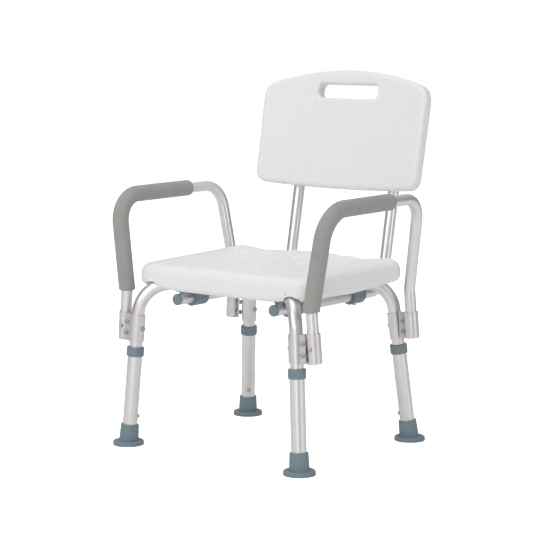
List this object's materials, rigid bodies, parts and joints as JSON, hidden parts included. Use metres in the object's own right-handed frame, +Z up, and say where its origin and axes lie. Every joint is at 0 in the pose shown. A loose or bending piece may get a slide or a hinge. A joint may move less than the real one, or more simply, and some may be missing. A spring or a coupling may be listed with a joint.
{
  "type": "shower stool",
  "caption": "Shower chair with moulded seat and slotted backrest, telescopic splayed legs, lift-out padded arms and a slide-out back.",
  "frame": {"origin": "on the floor, in the middle of the chair's width and of its overall depth", "axes": "-Y is the way the seated person faces, +X is to their left, +Z is up"},
  "size_m": [0.5308, 0.5066, 0.7183],
  "materials": {
    "moulded_white": "satin",
    "foam_grey": "matte",
    "rubber_slate": "matte",
    "plastic_slate": "satin",
    "spring_steel": "satin",
    "button_steel": "polished",
    "zinc_steel": "satin",
    "aluminium_bracket": "satin",
    "aluminium_tube": "satin"
  },
  "bodies": {
    "frame": {"arm_socket_front_left": "aluminium_bracket", "arm_socket_front_right": "aluminium_bracket", "arm_socket_rear_left": "aluminium_bracket", "arm_socket_rear_right": "aluminium_bracket", "bracket_screws": "zinc_steel", "cross_bolt": "zinc_steel", "cross_nut": "zinc_steel", "cross_tube_a": "aluminium_tube", "cross_tube_b": "aluminium_tube", "leg_button_springs": "spring_steel", "leg_sleeve_front_left": "aluminium_bracket", "leg_sleeve_front_right": "aluminium_bracket", "leg_sleeve_rear_left": "aluminium_bracket", "leg_sleeve_rear_right": "aluminium_bracket", "saddle_bracket_front_left": "plastic_slate", "saddle_bracket_front_right": "plastic_slate", "saddle_bracket_rear_left": "plastic_slate", "saddle_bracket_rear_right": "plastic_slate", "seat_panel": "moulded_white", "seat_screws": "zinc_steel", "sleeve_rivets": "zinc_steel", "socket_bolts": "zinc_steel", "socket_nuts": "zinc_steel"},
    "leg_front_left": {"lower_leg_front_left": "aluminium_tube", "leg_collar_front_left": "plastic_slate", "foot_pad_front_left": "rubber_slate"},
    "legbutton_front_left": {"leg_button_front_left": "button_steel"},
    "armbutton_front_left": {"arm_button_front_left": "button_steel"},
    "leg_front_right": {"lower_leg_front_right": "aluminium_tube", "leg_collar_front_right": "plastic_slate", "foot_pad_front_right": "rubber_slate"},
    "legbutton_front_right": {"leg_button_front_right": "button_steel"},
    "armbutton_front_right": {"arm_button_front_right": "button_steel"},
    "leg_rear_left": {"lower_leg_rear_left": "aluminium_tube", "leg_collar_rear_left": "plastic_slate", "foot_pad_rear_left": "rubber_slate"},
    "legbutton_rear_left": {"leg_button_rear_left": "button_steel"},
    "armbutton_rear_left": {"arm_button_rear_left": "button_steel"},
    "leg_rear_right": {"lower_leg_rear_right": "aluminium_tube", "leg_collar_rear_right": "plastic_slate", "foot_pad_rear_right": "rubber_slate"},
    "legbutton_rear_right": {"leg_button_rear_right": "button_steel"},
    "armbutton_rear_right": {"arm_button_rear_right": "button_steel"},
    "arm_left": {"arm_tube_left": "aluminium_tube", "arm_grip_left": "foam_grey", "arm_button_springs_left": "spring_steel"},
    "backbutton_left": {"back_button_left": "button_steel"},
    "arm_right": {"arm_tube_right": "aluminium_tube", "arm_grip_right": "foam_grey", "arm_button_springs_right": "spring_steel"},
    "backbutton_right": {"back_button_right": "button_steel"},
    "back": {"backrest_panel": "moulded_white", "backrest_screws": "zinc_steel", "back_button_springs": "spring_steel", "back_tube_left": "aluminium_tube", "back_tube_right": "aluminium_tube", "back_tube_cap_left": "plastic_slate", "back_tube_cap_right": "plastic_slate"}
  },
  "joints": [
    {"name": "leg_slide_front_left", "type": "slide", "parent": "frame", "child": "leg_front_left", "axis": [0.0678, -0.0468, -0.9966], "range_m": [0, 0.0762]},
    {"name": "leg_button_press_front_left", "type": "slide", "parent": "frame", "child": "legbutton_front_left", "axis": [0.7039, -0.7056, 0.081], "range_m": [0, 0.0035], "stiffness_N_per_m": 400},
    {"name": "arm_button_press_front_left", "type": "slide", "parent": "arm_left", "child": "armbutton_front_left", "axis": [-0.0015, 0.9998, 0.0199], "range_m": [0, 0.0035], "stiffness_N_per_m": 400},
    {"name": "leg_slide_front_right", "type": "slide", "parent": "frame", "child": "leg_front_right", "axis": [-0.0678, -0.0468, -0.9966], "range_m": [0, 0.0762]},
    {"name": "leg_button_press_front_right", "type": "slide", "parent": "frame", "child": "legbutton_front_right", "axis": [-0.7039, -0.7056, 0.081], "range_m": [0, 0.0035], "stiffness_N_per_m": 400},
    {"name": "arm_button_press_front_right", "type": "slide", "parent": "arm_right", "child": "armbutton_front_right", "axis": [0.0015, 0.9998, 0.0199], "range_m": [0, 0.0035], "stiffness_N_per_m": 400},
    {"name": "leg_slide_rear_left", "type": "slide", "parent": "frame", "child": "leg_rear_left", "axis": [0.0883, 0.0903, -0.992], "range_m": [0, 0.0762]},
    {"name": "leg_button_press_rear_left", "type": "slide", "parent": "frame", "child": "legbutton_rear_left", "axis": [0.7016, 0.7013, 0.1263], "range_m": [0, 0.0035], "stiffness_N_per_m": 400},
    {"name": "arm_button_press_rear_left", "type": "slide", "parent": "arm_left", "child": "armbutton_rear_left", "axis": [0.0015, -0.9998, -0.0199], "range_m": [0, 0.0035], "stiffness_N_per_m": 400},
    {"name": "leg_slide_rear_right", "type": "slide", "parent": "frame", "child": "leg_rear_right", "axis": [-0.0883, 0.0903, -0.992], "range_m": [0, 0.0762]},
    {"name": "leg_button_press_rear_right", "type": "slide", "parent": "frame", "child": "legbutton_rear_right", "axis": [-0.7016, 0.7013, 0.1263], "range_m": [0, 0.0035], "stiffness_N_per_m": 400},
    {"name": "arm_button_press_rear_right", "type": "slide", "parent": "arm_right", "child": "armbutton_rear_right", "axis": [-0.0015, -0.9998, -0.0199], "range_m": [0, 0.0035], "stiffness_N_per_m": 400},
    {"name": "arm_lift_left", "type": "slide", "parent": "frame", "child": "arm_left", "axis": [-0.0748, -0.0199, 0.997], "range_m": [0, 0.27]},
    {"name": "back_button_press_left", "type": "slide", "parent": "back", "child": "backbutton_left", "axis": [0, 0, 1], "range_m": [0, 0.0035], "stiffness_N_per_m": 400},
    {"name": "arm_lift_right", "type": "slide", "parent": "frame", "child": "arm_right", "axis": [0.0748, -0.0199, 0.997], "range_m": [0, 0.27]},
    {"name": "back_button_press_right", "type": "slide", "parent": "back", "child": "backbutton_right", "axis": [0, 0, 1], "range_m": [0, 0.0035], "stiffness_N_per_m": 400},
    {"name": "back_slide_out", "type": "slide", "parent": "frame", "child": "back", "axis": [0, 1, 0], "range_m": [0, 0.29]}
  ]
}
